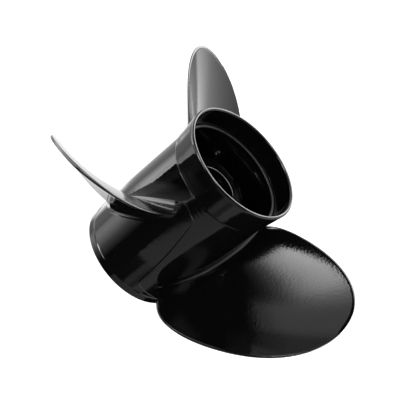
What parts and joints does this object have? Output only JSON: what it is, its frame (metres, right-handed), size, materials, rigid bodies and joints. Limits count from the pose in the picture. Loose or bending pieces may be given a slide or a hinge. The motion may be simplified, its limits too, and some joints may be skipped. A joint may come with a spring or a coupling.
{
  "type": "outboard boat propeller",
  "caption": "Right-hand three-blade outboard propeller with a through-hub exhaust barrel, a flared rear ring and a splined rubber torsion hub.",
  "frame": {"origin": "on the shaft axis, in the plane of the casting's flat front end", "axes": "+Z runs along the shaft axis and points aft, out of the exhaust mouth, so the propeller stands on its front end; +X is 4.2 degrees round from the first blade's zero line; angles round +Z follow the right-hand rule"},
  "size_m": [0.3007, 0.3199, 0.1556],
  "materials": {
    "casting_enamel": "gloss black enamel over cast aluminium",
    "ring_enamel": "gloss black enamel over aluminium",
    "hub_rubber": "matt moulded rubber",
    "sleeve_bronze": "machined bronze, slightly dull"
  },
  "bodies": {
    "propeller": {"propeller_casting": "casting_enamel", "diffuser_ring": "ring_enamel", "rubber_bushing": "hub_rubber"},
    "sleeve": {"splined_sleeve": "sleeve_bronze"}
  },
  "joints": [
    {"name": "hub_twist", "type": "hinge", "parent": "propeller", "child": "sleeve", "pos_m": [0, 0, 0.056], "axis": [0, 0, 1], "range_deg": [-12, 12], "stiffness_Nm_per_rad": 1200}
  ]
}
